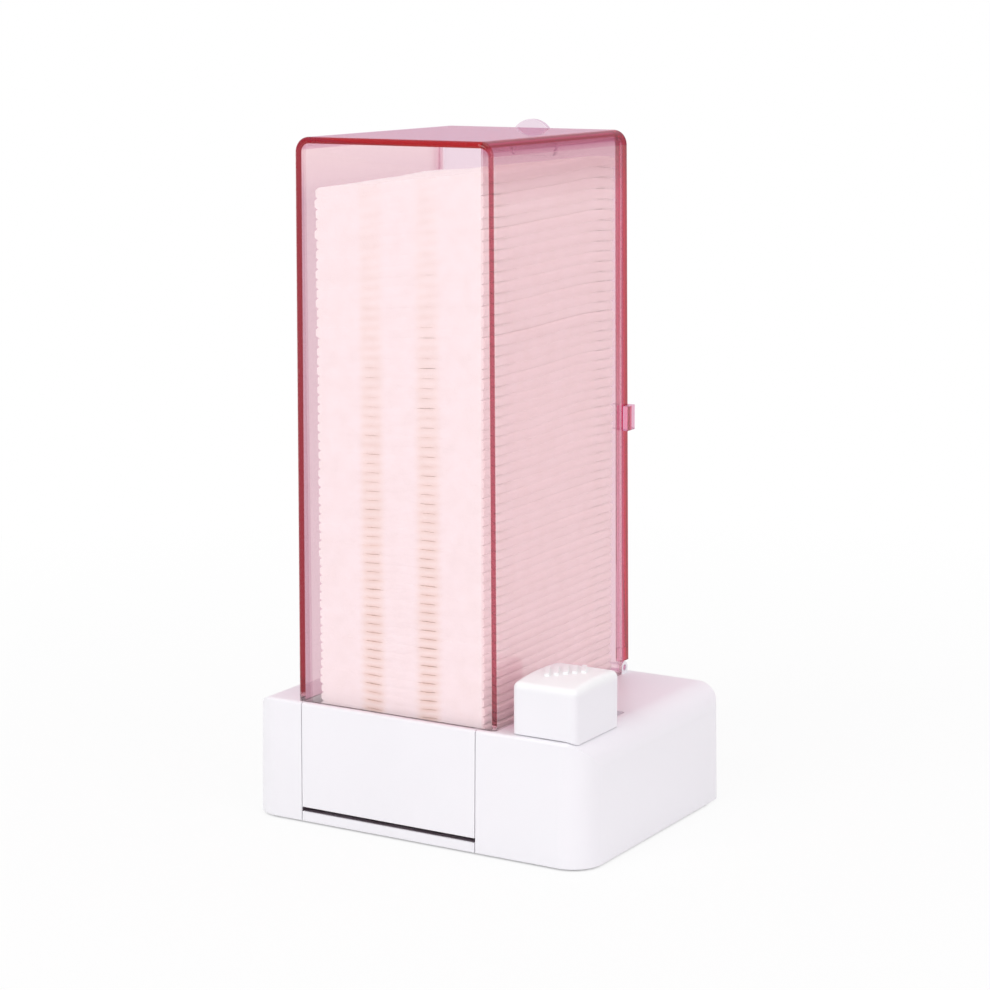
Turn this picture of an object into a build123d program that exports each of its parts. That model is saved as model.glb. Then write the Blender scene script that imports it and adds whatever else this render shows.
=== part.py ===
from build123d import *
import os
from math import radians, tan

# Cotton pad dispenser: a tinted hopper on a white base. A button on the base's right shoulder
# draws a toothed pusher plate back under the stack, and pushes the lowest pad out at the front.
# Lengths in millimetres, angles in degrees. The origin is the middle of the footprint on the table,
# +X to the right, +Y to the back, +Z up. Every piece is drawn where it sits at rest.

# Cotton pads. The hopper is sized to them, and the base to the hopper.
pad_width = 61.4
pad_depth = 78.6
pad_thickness = 2.8
pad_pinch = 1.3
pad_gap = 0.1
pad_left_gap = 5.0
pad_right_gap = 2.7
pad_front_gap = 0.25
pad_rear_gap = 0.6
stack_headroom = 10.0
pad_pinch_shares = (1 / 3, 2 / 3)
pad_puff_share = 0.28

# Base housing
base_top = 39.6
base_wall = 2.2
front_corner_radius = 10.0
rear_corner_radius = 3.2
shoulder_radius = 8.2
edge_radius = 1.0
base_draft = 1.0
foot_proud = 0.8

# Clearances and cutting
cut_overrun = 6.0
running_gap = 0.3
seat_gap = 0.25
seam_gap = 0.3
pin_gap = 0.06
screw_gap = 0.05

# Hopper
hopper_left_margin = 18.1
hopper_front_margin = 2.2
hopper_rear_margin = 2.8
hopper_height = 178.0
hopper_wall = 2.0
hopper_draft = 0.3725
hopper_corner_radius = 4.7
hopper_edge_radius = 1.4
door_stop_depth = 1.4
tongue_width = 9.0
tongue_thickness = 1.2
tongue_inset = 0.5
tongue_spacing = 44.0
hook_height = 1.5
hook_reach = 1.1

# Rear door and its hinge
hinge_lift = 1.9
ear_radius = 2.0
barrel_radius = 1.5
trunnion_radius = 1.0
door_recess = 1.4
door_thickness = 1.6
door_face_behind_axis = 1.2
heel_rib_thickness = 1.8
heel_rib_reach = 4.0
heel_rib_height = 30.0
heel_rib_clear = 0.7
clip_height_share = 0.457
clip_length = 8.0
clip_thickness = 1.6
clip_root = 4.0
clip_lap = 4.0
tab_radius = 8.2
tab_rise = 2.8
tab_thickness = 1.5
tab_skirt = 3.5

# Outlet in the front of the base
panel_left_inset = 2.4
panel_right_inset = 6.3
panel_tongue = 1.6
outlet_height = 1.5
outlet_lead_in = 1.0

# Bottom tray, feet and tray screws
tray_thickness = 3.1
foot_radius = 5.0
foot_recess = 1.2
foot_taper = 0.5
foot_side_margin = 11.2
foot_front_margin = 10.0
foot_rear_margin = 17.0
left_front_foot_margin = 18.0
boss_radius = 3.2
boss_side_margin = 8.0
boss_front_margin = 9.0
boss_rear_margin = 7.2
front_right_boss_gap = 0.8
tray_screw_radius = 1.25
tray_screw_head_radius = 2.4
tray_screw_head_height = 1.4
tray_screw_length = 11.0

# Slider: button, carriage and pusher
slide_travel = 24.0
button_gap = 5.6
button_width = 22.4
button_depth = 27.5
button_right_margin = 4.9
button_front_margin = 2.5
button_crest_height = 17.5
button_crest_setback = 2.0
button_crown_radius = 100.0
button_edge_radius = 2.2
button_wall = 1.8
grip_count = 5
grip_length = 8.5
grip_width = 1.5
grip_height = 0.8
grip_sink = 1.2
grip_turn = 27.0
grip_step_right = 2.05
grip_step_back = 2.05
grip_row_left = 5.7
grip_row_front = 12.1
slot_width = 13.2
slot_front_margin = 7.2
slot_corner_radius = 1.5
neck_length = 10.8
carriage_plate_thickness = 2.0
carriage_plate_overlap = 2.2
carriage_web_thickness = 2.4
carriage_web_gap = 3.0
carriage_foot_width = 13.0
carriage_foot_length = 18.0
carriage_foot_height = 3.0
guide_rib_thickness = 1.4
guide_rib_height = 4.0
guide_rib_rear_margin = 16.0
button_screw_radius = 1.2
button_screw_length = 9.0
button_screw_head_radius = 2.3
button_screw_head_height = 1.6
pusher_thickness = 1.5
pusher_lift = 0.2
pusher_side_margin = 8.0
pusher_length = 38.0
pusher_front_margin = 9.0
pusher_window_width = 22.0
pusher_window_length = 9.0
pusher_window_rear = 5.0
tooth_count = 5
tooth_pitch = 4.0
tooth_height = 0.7
tooth_length = 1.8
tooth_side_margin = 4.0
tooth_front_margin = 2.0
pusher_screw_radius = 0.95
pusher_screw_head_radius = 1.7
pusher_screw_head_height = 0.8
pusher_screw_length = 4.0
pusher_screw_spacing = 8.0

# Places worked out from the sizes
lean = tan(radians(hopper_draft))
base_lean = tan(radians(base_draft))
hopper_fall = hopper_height * lean
hopper_width = pad_left_gap + pad_width + pad_right_gap + 2 * hopper_wall
door_setback = hopper_wall + pad_front_gap + pad_depth + hopper_fall + pad_rear_gap
hopper_depth = door_setback + door_thickness + door_recess
base_width = hopper_left_margin + hopper_width + button_gap + button_width + button_right_margin
base_depth = hopper_front_margin + hopper_depth + hopper_rear_margin

base_left = -base_width / 2
base_right = base_width / 2
base_front = -base_depth / 2
base_rear = base_depth / 2
deck_under = base_top - base_wall
tray_top = foot_proud + tray_thickness

hopper_left = base_left + hopper_left_margin
hopper_right = hopper_left + hopper_width
hopper_middle = (hopper_left + hopper_right) / 2
hopper_front = base_front + hopper_front_margin
hopper_rear = hopper_front + hopper_depth
hopper_top = base_top + hopper_height
hopper_inner_left = hopper_left + hopper_wall
hopper_inner_right = hopper_right - hopper_wall
hopper_inner_front = hopper_front + hopper_wall
hopper_inner_top = hopper_top - hopper_wall

door_inner = hopper_front + door_setback
door_outer = door_inner + door_thickness
hinge_y = door_outer - door_face_behind_axis
hinge_z = base_top + hinge_lift

panel_left = hopper_left + panel_left_inset
panel_right = hopper_right - panel_right_inset
panel_bottom = tray_top + outlet_height

button_left = hopper_right + button_gap
button_right = button_left + button_width
button_front = base_front + button_front_margin
button_rear = button_front + button_depth
slot_x = (button_left + button_right) / 2
slot_front = base_front + slot_front_margin
neck_front = slot_front + running_gap
neck_rear = neck_front + neck_length
slot_rear = neck_rear + slide_travel + running_gap
neck_width = slot_width - 2 * running_gap

carriage_top = deck_under - running_gap
carriage_plate_bottom = carriage_top - carriage_plate_thickness
carriage_left = slot_x - slot_width / 2 - carriage_plate_overlap
carriage_right = slot_x + slot_width / 2 + carriage_plate_overlap
carriage_web_front = neck_rear + carriage_web_gap
carriage_foot_front = carriage_web_front - carriage_web_thickness
carriage_foot_rear = carriage_foot_front + carriage_foot_length
arm_right = slot_x + carriage_foot_width / 2

pad_middle = hopper_inner_left + pad_left_gap + pad_width / 2
pusher_width = pad_width - 2 * pusher_side_margin
pusher_left = pad_middle - pusher_width / 2
pusher_right = pad_middle + pusher_width / 2
pusher_front = base_front + pusher_front_margin
pusher_rear = pusher_front + pusher_length
pusher_bottom = tray_top - pusher_thickness

stack_bottom = tray_top + tooth_height + running_gap
pad_pitch = pad_thickness + pad_gap
pad_count = int((hopper_inner_top - stack_headroom - stack_bottom) / pad_pitch)

front_right_boss_x = hopper_right + front_right_boss_gap + boss_radius
boss_places = (
    (base_left + boss_side_margin, base_front + boss_front_margin),
    (base_left + boss_side_margin, base_rear - boss_rear_margin),
    (front_right_boss_x, base_front + boss_front_margin),
    (base_right - boss_side_margin, base_rear - boss_rear_margin),
)
foot_places = (
    (base_left + foot_side_margin, base_front + left_front_foot_margin),
    (base_left + foot_side_margin, base_rear - foot_rear_margin),
    (base_right - foot_side_margin, base_front + foot_front_margin),
    (base_right - foot_side_margin, base_rear - foot_rear_margin),
)
corner = (Align.MIN, Align.MIN, Align.MIN)


def slab(x0, x1, y0, y1, z0, z1):
    """A block between two corners."""
    return Pos(x0, y0, z0) * Box(x1 - x0, y1 - y0, z1 - z0, align=corner)


def post(x, y, z0, z1, radius):
    """An upright round bar."""
    return Pos(x, y, z0) * Cylinder(radius, z1 - z0, align=(Align.CENTER, Align.CENTER, Align.MIN))


def bar_across(x0, x1, y, z, radius):
    """A round bar along X."""
    bar = Cylinder(radius, x1 - x0, align=(Align.CENTER, Align.CENTER, Align.MIN))
    return Pos(x0, y, z) * Rot(0, 90, 0) * bar


def plan_outline(inset):
    """The base seen from above, drawn in by a wall. Inside, its rear corners are square."""
    outline = Rectangle(base_width - 2 * inset, base_depth - 2 * inset)
    outline = fillet(outline.vertices().group_by(Axis.Y)[0], front_corner_radius - inset)
    if inset:
        return outline
    return fillet(outline.vertices().group_by(Axis.Y)[-1], rear_corner_radius)


def shoulder_block(inset, bottom):
    """The base seen from the front, with its round left and right shoulders, as a long bar."""
    top = base_top - inset
    low_half = base_width / 2 - inset - (bottom - foot_proud) * base_lean
    high_half = base_width / 2 - inset - (top - foot_proud) * base_lean
    section = Polyline(
        (-low_half, bottom), (-high_half, top), (high_half, top), (low_half, bottom), close=True
    )
    section = Plane.XZ * make_face(section)
    section = fillet(section.vertices().group_by(Axis.Z)[-1], shoulder_radius - inset)
    return extrude(section, amount=base_depth, both=True)


def base_block(inset, bottom):
    """The base's drafted outer form, or the hollow inside it."""
    top = base_top - inset
    outline = plan_outline(inset + (bottom - foot_proud) * base_lean)
    block = Pos(0, 0, bottom) * extrude(outline, amount=top - bottom, taper=base_draft)
    if not inset:
        block = fillet(block.edges().group_by(Axis.Z)[-1], edge_radius)
    return block & shoulder_block(inset, bottom)


def hopper_block(inset, bottom, rear):
    """The hopper's drafted form: a rounded front outline cut to leaning front and rear faces."""
    drop = base_top - bottom
    top = hopper_top - inset
    low_half = hopper_width / 2 - inset + drop * lean
    high_half = hopper_width / 2 - inset - (top - base_top) * lean
    section = Polyline(
        (hopper_middle - low_half, bottom),
        (hopper_middle - high_half, top),
        (hopper_middle + high_half, top),
        (hopper_middle + low_half, bottom),
        close=True,
    )
    section = Plane.XZ * make_face(section)
    section = fillet(section.vertices().group_by(Axis.Z)[-1], hopper_corner_radius - inset)
    side = Polyline(
        (hopper_front + inset - drop * lean, bottom),
        (hopper_front + inset + (top - base_top) * lean, top),
        (rear - (top - base_top) * lean, top),
        (rear + drop * lean, bottom),
        close=True,
    )
    side = Plane.YZ * make_face(side)
    return extrude(section, amount=base_depth, both=True) & extrude(side, amount=base_width, both=True)


def tongue_places():
    """The hopper's four snap tongues: the side they are on, its outer face and the middle along Y."""
    middle = (hopper_front + hopper_rear) / 2
    for side, face in ((-1, hopper_left), (1, hopper_right)):
        for step in (-1, 1):
            yield side, face, middle + step * tongue_spacing / 2


def spread(side, face, outward0, outward1):
    """The X range between two distances measured outward from a side face."""
    return sorted((face + side * outward0, face + side * outward1))


def base_housing():
    hollow_bottom = foot_proud - cut_overrun
    housing = base_block(0, foot_proud) - base_block(base_wall, hollow_bottom)
    inside = base_block(base_wall / 2, foot_proud)

    # Chute under the hopper, open to the outlet at the front
    chute_bottom = tray_top + running_gap
    chute_front = hopper_inner_front + seat_gap
    chute_rear = door_inner + hopper_wall
    chute = slab(hopper_left, hopper_inner_left, chute_front, chute_rear, chute_bottom, base_top)
    chute += slab(hopper_inner_right, hopper_right, chute_front, chute_rear, chute_bottom, base_top)
    chute += slab(hopper_left, hopper_right, door_inner, chute_rear, chute_bottom, base_top)

    # Guide ribs beside the carriage, and bosses for the tray screws
    rib_bottom = deck_under - guide_rib_height
    rib_rear = base_rear - guide_rib_rear_margin
    ribs = slab(
        carriage_left - running_gap - guide_rib_thickness, carriage_left - running_gap,
        slot_front, rib_rear, rib_bottom, base_top,
    )
    ribs += slab(
        carriage_right + running_gap, carriage_right + running_gap + guide_rib_thickness,
        slot_front, rib_rear, rib_bottom, base_top,
    )
    for x, y in boss_places:
        ribs += post(x, y, tray_top, base_top, boss_radius)
    housing += (chute + ribs) & inside
    for x, y in boss_places:
        housing -= post(x, y, foot_proud, foot_proud + tray_screw_length, tray_screw_radius + screw_gap)

    # Well for the pads, and the front cut-out that the panel and the tray's lip fill
    housing -= slab(
        hopper_inner_left, hopper_inner_right, hopper_inner_front, door_inner,
        deck_under - cut_overrun, base_top + cut_overrun,
    )
    housing -= slab(
        panel_left - seam_gap, panel_right + seam_gap, base_front - cut_overrun, hopper_inner_front,
        foot_proud - cut_overrun, base_top + cut_overrun,
    )

    # Slot for the button's neck
    slot_length = slot_rear - slot_front
    slot = RectangleRounded(slot_width, slot_length, slot_corner_radius)
    slot = extrude(slot, amount=base_wall + 2 * cut_overrun)
    housing -= Pos(slot_x, (slot_front + slot_rear) / 2, deck_under - cut_overrun) * slot

    # Notches and windows for the hopper's tongues
    for side, face, y in tongue_places():
        half = tongue_width / 2 + running_gap
        x0, x1 = spread(side, face, -hopper_wall - seat_gap, -tongue_inset + running_gap)
        housing -= slab(x0, x1, y - half, y + half, deck_under - cut_overrun, base_top + cut_overrun)
        x0, x1 = spread(side, face, -hopper_wall - seat_gap, seat_gap)
        window_bottom = deck_under - running_gap - 2 * hook_height
        housing -= slab(x0, x1, y - half, y + half, window_bottom, deck_under)

    # Hinge ears in the hopper's rear corners
    for x0, x1 in ((hopper_left, hopper_inner_left), (hopper_inner_right, hopper_right)):
        ear = slab(x0, x1, hinge_y - ear_radius, hinge_y + ear_radius, deck_under, hinge_z)
        ear += bar_across(x0, x1, hinge_y, hinge_z, ear_radius)
        housing += ear
        housing -= bar_across(x0 - seat_gap, x1 + seat_gap, hinge_y, hinge_z, trunnion_radius + pin_gap)
    return housing


def front_panel():
    """The fixed front of the chute. Its tongues run behind the housing's front wall."""
    panel = base_block(0, foot_proud) & slab(
        panel_left, panel_right, base_front, hopper_inner_front, panel_bottom, base_top
    )
    inner_edge = panel.edges().filter_by(Axis.X).group_by(Axis.Z)[0].sort_by(Axis.Y)[-1]
    panel = chamfer(inner_edge, outlet_lead_in)
    tongue = panel_tongue + seam_gap
    hidden = base_block(base_wall, foot_proud)
    for x0, x1 in ((panel_left - tongue, panel_left), (panel_right, panel_right + tongue)):
        panel += hidden & slab(
            x0, x1, base_front, hopper_inner_front, tray_top, deck_under - seat_gap
        )
    return panel


def bottom_tray():
    """The base's screwed-on bottom, with the outlet's lip and the channel that the pusher slides in."""
    inset = base_wall + seat_gap + tray_thickness * base_lean
    tray = Pos(0, 0, foot_proud) * extrude(plan_outline(inset), amount=tray_thickness)
    tray += base_block(0, foot_proud) & slab(
        panel_left, panel_right, base_front, base_front + base_wall + inset, foot_proud, tray_top
    )
    channel_floor = pusher_bottom - pusher_lift
    tray -= slab(
        pusher_left - running_gap, pusher_right + running_gap,
        pusher_front - running_gap, pusher_rear + slide_travel + running_gap,
        channel_floor, tray_top + cut_overrun,
    )
    tray -= slab(
        pusher_right - running_gap, arm_right + running_gap,
        carriage_foot_front - running_gap, carriage_foot_rear + slide_travel + running_gap,
        channel_floor, tray_top + cut_overrun,
    )
    for x, y in boss_places:
        tray -= post(x, y, foot_proud - cut_overrun, tray_top + cut_overrun, tray_screw_radius + screw_gap)
        head_top = foot_proud + tray_screw_head_height
        tray -= post(x, y, foot_proud - cut_overrun, head_top, tray_screw_head_radius + screw_gap)
    for x, y in foot_places:
        tray -= post(x, y, foot_proud - cut_overrun, foot_proud + foot_recess, foot_radius + screw_gap)
    return tray


def tray_screws():
    head_top = foot_proud + tray_screw_head_height
    tip = foot_proud + tray_screw_length
    screws = []
    for x, y in boss_places:
        head = post(x, y, foot_proud, head_top, tray_screw_head_radius)
        screws.append(head + post(x, y, head_top, tip - screw_gap, tray_screw_radius))
    return Compound(children=screws)


def rubber_feet():
    height = foot_proud + foot_recess
    foot = Cone(foot_radius - foot_taper, foot_radius, height, align=(Align.CENTER, Align.CENTER, Align.MIN))
    return Compound(children=[Pos(x, y, 0) * foot for x, y in foot_places])


def hopper():
    """The tinted hopper: front, two sides and top, open at the back and at the bottom."""
    shell = hopper_block(0, base_top, hopper_rear)
    front_edges = shell.faces().sort_by(Axis.Y)[0].edges()
    shell = fillet(front_edges.sort_by(Axis.Z)[1:], hopper_edge_radius)
    below = base_top - cut_overrun
    behind = hopper_rear + base_depth
    shell -= hopper_block(hopper_wall, below, behind)

    # The stop that the door closes against, all round the rear opening but the bottom
    stop_rear = door_inner - running_gap
    stop = hopper_block(hopper_wall - seat_gap, base_top, hopper_rear)
    stop &= slab(
        base_left, base_right, stop_rear - door_stop_depth, stop_rear,
        hinge_z + ear_radius + running_gap, hopper_top,
    )
    shell += stop - hopper_block(hopper_wall + door_stop_depth, below, behind)

    # Room for the base's hinge ears in the rear corners
    notch_front = hinge_y - ear_radius - running_gap
    notch_top = hinge_z + ear_radius + running_gap
    shell -= slab(
        base_left, base_right, notch_front, base_rear + cut_overrun, below, notch_top
    )

    # Snap tongues that hook under the deck
    hook_top = deck_under - seat_gap
    for side, face, y in tongue_places():
        y0 = y - tongue_width / 2
        y1 = y + tongue_width / 2
        x0, x1 = spread(side, face, -tongue_inset - tongue_thickness, -tongue_inset)
        shell += slab(x0, x1, y0, y1, hook_top - hook_height, base_top + hopper_wall)
        x0, x1 = spread(side, face, -tongue_inset, hook_reach - tongue_inset)
        hook = slab(x0, x1, y0, y1, hook_top - hook_height, hook_top)
        outer = hook.edges().filter_by(Axis.Y).group_by(Axis.Z)[0]
        shell += chamfer(outer.sort_by(Axis((0, 0, 0), (side, 0, 0)))[-1], hook_reach / 2)
    return shell


def rear_door():
    """The clear door behind the stack. It turns back and down on trunnions in the base's ears."""
    door_bottom = hinge_z
    panel = hopper_block(hopper_wall + running_gap, base_top, hopper_rear + base_depth)
    panel &= slab(base_left, base_right, door_inner, door_outer, door_bottom, hopper_top)

    barrel_left = hopper_inner_left + running_gap
    barrel_right = hopper_inner_right - running_gap
    panel += bar_across(barrel_left, barrel_right, hinge_y, hinge_z, barrel_radius)
    panel += bar_across(
        hopper_left + running_gap, hopper_right - running_gap, hinge_y, hinge_z, trunnion_radius
    )

    # Tapered heel ribs, which come to rest behind the base when the door is open
    heel_bottom = hinge_z + base_rear - hinge_y + heel_rib_clear
    heel_top = heel_bottom + heel_rib_height
    profile = Polyline(
        (door_outer, heel_bottom),
        (hinge_y + heel_rib_reach, heel_bottom),
        (door_outer, heel_top),
        close=True,
    )
    heel = extrude(Plane.YZ * make_face(profile), amount=heel_rib_thickness)
    heel_inset = hopper_wall + running_gap + (heel_top - base_top) * lean
    panel += Pos(hopper_left + heel_inset, 0, 0) * heel
    panel += Pos(hopper_right - heel_inset - heel_rib_thickness, 0, 0) * heel

    # Clips that lap round the rear edges of the hopper's sides
    clip_bottom = base_top + hopper_height * clip_height_share
    clip_top = clip_bottom + clip_length
    clip_lean = (clip_bottom - base_top) * lean
    plate_front = hopper_rear - clip_lean + running_gap
    plate_rear = plate_front + clip_thickness
    for side, face in ((-1, hopper_left + clip_lean), (1, hopper_right - clip_lean)):
        inner = hopper_wall + 2 * running_gap
        x0, x1 = spread(side, face, -inner - clip_root, -inner)
        clip = slab(x0, x1, door_outer, plate_rear, clip_bottom, clip_top)
        x0, x1 = spread(side, face, -inner - clip_root, running_gap + clip_thickness)
        clip += slab(x0, x1, plate_front, plate_rear, clip_bottom, clip_top)
        x0, x1 = spread(side, face, running_gap, running_gap + clip_thickness)
        clip += slab(x0, x1, plate_rear - clip_thickness - clip_lap, plate_rear, clip_bottom, clip_top)
        rear_edges = clip.edges().filter_by(Axis.Z).group_by(Axis.Y)[-1]
        clip = fillet(rear_edges.sort_by(Axis((0, 0, 0), (side, 0, 0)))[-1], clip_thickness / 2)
        panel += clip

    # Thumb tab: a half-round plate behind the hopper's top edge
    tab_centre = hopper_top + tab_rise - tab_radius
    edge_rear = hopper_rear - hopper_fall + running_gap
    tab = Pos(hopper_middle, edge_rear + tab_thickness, tab_centre) * Rot(90, 0, 0) * Cylinder(
        tab_radius, edge_rear + tab_thickness - door_outer, align=(Align.CENTER, Align.CENTER, Align.MIN)
    )
    tab &= slab(
        base_left, base_right, door_outer - cut_overrun, base_rear + cut_overrun,
        tab_centre - tab_skirt, hopper_top + tab_rise + cut_overrun,
    )
    tab -= slab(
        base_left, base_right, door_outer - cut_overrun, edge_rear,
        hopper_inner_top - running_gap, hopper_top + tab_rise + cut_overrun,
    )
    return panel + tab


def button_crown(sink):
    """Everything under the button's crown, which is arched along the slide."""
    crest_y = (button_front + button_rear) / 2 + button_crest_setback
    axis_z = base_top + button_crest_height - sink - button_crown_radius
    return bar_across(base_left, base_right, crest_y, axis_z, button_crown_radius)


def slider_button():
    """The finger button: a crowned shell with slanting grips and a neck that goes through the slot."""
    skirt = base_top - shoulder_radius
    plan = Rectangle(button_width, button_depth)
    centre = Pos(slot_x, (button_front + button_rear) / 2, skirt)
    body = centre * extrude(plan, amount=button_crest_height + shoulder_radius)
    body &= button_crown(0)
    corners = body.edges().filter_by(Axis.Z)
    body = fillet(corners + body.faces().sort_by(Axis.Z)[-1].edges(), button_edge_radius)

    # The shell sits a running gap above the deck and its right shoulder
    body -= shoulder_block(-running_gap, -cut_overrun)
    plan = Rectangle(button_width - 2 * button_wall, button_depth - 2 * button_wall)
    hollow = centre * extrude(plan, amount=button_crest_height + shoulder_radius)
    body -= hollow & button_crown(button_wall)

    neck = slab(
        slot_x - neck_width / 2, slot_x + neck_width / 2, neck_front, neck_rear,
        carriage_top, base_top + button_crest_height,
    )
    neck = fillet(neck.edges().filter_by(Axis.Z), slot_corner_radius - running_gap)
    body += neck & button_crown(button_wall / 2)
    body -= post(
        slot_x, (neck_front + neck_rear) / 2, carriage_top - cut_overrun,
        carriage_plate_bottom + button_screw_length, button_screw_radius + screw_gap,
    )

    # Grips in a slanting row on the crown
    grip = Rectangle(grip_width, grip_length)
    grips = []
    for step in range(grip_count):
        place = Pos(
            button_left + grip_row_left + step * grip_step_right,
            button_front + grip_row_front + step * grip_step_back,
            base_top + button_crest_height - grip_sink,
        )
        grips.append(place * Rot(0, 0, grip_turn) * extrude(grip, amount=grip_sink + grip_height))
    return body + (Compound(children=grips) & button_crown(-grip_height))


def slider_carriage():
    """The carriage under the deck: a plate that closes the slot, and a leg down to the pusher's arm."""
    plate_front = neck_front - carriage_plate_overlap
    plate_rear = slot_rear + carriage_plate_overlap
    carriage = slab(
        carriage_left, carriage_right, plate_front, plate_rear, carriage_plate_bottom, carriage_top
    )
    carriage &= shoulder_block(base_wall + running_gap, foot_proud)
    half_web = carriage_web_thickness / 2
    carriage += slab(
        slot_x - half_web, slot_x + half_web, carriage_web_front, carriage_foot_rear, tray_top, carriage_top
    )
    carriage += slab(
        slot_x - carriage_foot_width / 2, arm_right,
        carriage_web_front - carriage_web_thickness, carriage_web_front, tray_top, carriage_top,
    )
    carriage += slab(
        slot_x - carriage_foot_width / 2, arm_right, carriage_foot_front, carriage_foot_rear,
        tray_top, tray_top + carriage_foot_height,
    )
    carriage -= post(
        slot_x, (neck_front + neck_rear) / 2, carriage_plate_bottom - cut_overrun,
        carriage_top + cut_overrun, button_screw_radius + screw_gap,
    )
    for x, y in pusher_screw_places():
        tip = pusher_bottom + pusher_screw_length
        carriage -= post(x, y, tray_top - cut_overrun, tip, pusher_screw_radius + screw_gap)
    return carriage


def button_screw():
    y = (neck_front + neck_rear) / 2
    head_bottom = carriage_plate_bottom - button_screw_head_height
    tip = carriage_plate_bottom + button_screw_length - screw_gap
    screw = post(slot_x, y, head_bottom, carriage_plate_bottom, button_screw_head_radius)
    return screw + post(slot_x, y, carriage_plate_bottom, tip, button_screw_radius)


def pusher_screw_places():
    """Two screws behind the leg's cross web, one each side of its long web."""
    y = (carriage_web_front + carriage_foot_rear) / 2
    for side in (-1, 1):
        yield slot_x + side * pusher_screw_spacing / 2, y


def pusher_plate():
    """The plate under the stack, with saw teeth that take the lowest pad forward, and its arm."""
    plate = slab(pusher_left, pusher_right, pusher_front, pusher_rear, pusher_bottom, tray_top)
    plate += slab(
        pusher_right, arm_right, carriage_foot_front, carriage_foot_rear, pusher_bottom, tray_top
    )
    window_rear = pusher_rear - pusher_window_rear
    plate -= slab(
        pad_middle - pusher_window_width / 2, pad_middle + pusher_window_width / 2,
        window_rear - pusher_window_length, window_rear,
        pusher_bottom - cut_overrun, tray_top + cut_overrun,
    )
    for row in range(tooth_count):
        y = pusher_front + tooth_front_margin + row * tooth_pitch
        profile = Polyline(
            (y, tray_top),
            (y, tray_top + tooth_height),
            (y + tooth_length, tray_top),
            close=True,
        )
        tooth = extrude(Plane.YZ * make_face(profile), amount=pusher_width - 2 * tooth_side_margin)
        plate += Pos(pusher_left + tooth_side_margin, 0, 0) * tooth
    below = pusher_bottom - cut_overrun
    for x, y in pusher_screw_places():
        head_top = pusher_bottom + pusher_screw_head_height
        plate -= post(x, y, below, tray_top + cut_overrun, pusher_screw_radius + screw_gap)
        plate -= post(x, y, below, head_top, pusher_screw_head_radius + screw_gap)
    return plate


def pusher_screws():
    head_top = pusher_bottom + pusher_screw_head_height
    tip = pusher_bottom + pusher_screw_length - screw_gap
    screws = []
    for x, y in pusher_screw_places():
        head = post(x, y, pusher_bottom, head_top, pusher_screw_head_radius)
        screws.append(head + post(x, y, head_top, tip, pusher_screw_radius))
    return Compound(children=screws)


def cotton_pads():
    """The stack of pads. Each has three puffs between its pressed lines and its pressed side edges,
    and the stack leans with the hopper's front."""
    stops = (0, *pad_pinch_shares, 1)
    places = [pad_width * (share - stops[-1] / 2) for share in stops]
    halves = [pad_pinch / 2] * len(pad_pinch_shares) + [0]
    upper = [(places[0], 0)]
    for x0, x1, half in zip(places, places[1:], halves):
        run = (x1 - x0) * pad_puff_share
        upper += [(x0 + run, pad_thickness / 2), (x1 - run, pad_thickness / 2), (x1, half)]
    lower = [(x, -z) for x, z in reversed(upper[1:-1])]
    outline = Plane.XZ * make_face(Polyline(*upper, *lower, close=True))
    pad = extrude(outline, amount=-pad_depth)
    first = stack_bottom + pad_thickness / 2
    pads = []
    for number in range(pad_count):
        height = first + number * pad_pitch
        set_back = pad_front_gap + max(0, height - base_top) * lean
        pads.append(Pos(pad_middle, hopper_inner_front + set_back, height) * pad)
    return Compound(children=pads)


pieces = {
    "base_housing": base_housing,
    "front_panel": front_panel,
    "bottom_tray": bottom_tray,
    "tray_screws": tray_screws,
    "rubber_feet": rubber_feet,
    "hopper": hopper,
    "rear_door": rear_door,
    "slider_button": slider_button,
    "slider_carriage": slider_carriage,
    "button_screw": button_screw,
    "pusher_plate": pusher_plate,
    "pusher_screws": pusher_screws,
    "cotton_pads": cotton_pads,
}

os.makedirs("parts", exist_ok=True)
for name, make in pieces.items():
    export_step(make(), f"parts/{name}.step")
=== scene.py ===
"""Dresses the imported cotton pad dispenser: moulded white base, rose-tinted hopper, clear rear door and a
stack of pressed cotton pads, on a plain white stage."""

import math

import bpy
from mathutils import Matrix, Vector, noise


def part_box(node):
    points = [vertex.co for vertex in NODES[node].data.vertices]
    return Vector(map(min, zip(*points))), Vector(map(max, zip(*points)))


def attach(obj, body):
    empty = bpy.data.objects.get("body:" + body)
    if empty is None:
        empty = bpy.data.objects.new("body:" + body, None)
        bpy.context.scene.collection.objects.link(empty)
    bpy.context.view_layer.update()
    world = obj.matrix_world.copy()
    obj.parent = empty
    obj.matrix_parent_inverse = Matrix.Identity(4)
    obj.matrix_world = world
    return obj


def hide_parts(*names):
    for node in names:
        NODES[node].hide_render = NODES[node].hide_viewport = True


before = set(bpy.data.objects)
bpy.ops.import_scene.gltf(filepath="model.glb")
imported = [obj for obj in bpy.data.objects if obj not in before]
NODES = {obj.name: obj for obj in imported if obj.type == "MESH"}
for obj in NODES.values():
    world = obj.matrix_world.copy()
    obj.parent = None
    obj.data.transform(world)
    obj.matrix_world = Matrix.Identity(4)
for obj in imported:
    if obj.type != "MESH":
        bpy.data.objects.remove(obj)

bl_info = {
    "name": "Cotton Pad Dispenser",
    "version": (1, 0, 0),
    "blender": (4, 5, 0),
    "location": "3D View > Sidebar > Dispenser",
    "description": "Dresses a cotton pad dispenser and sets its studio stage",
    "category": "Object",
}

MILLIMETRE = 0.001
WHITE = (1, 1, 1)

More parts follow.
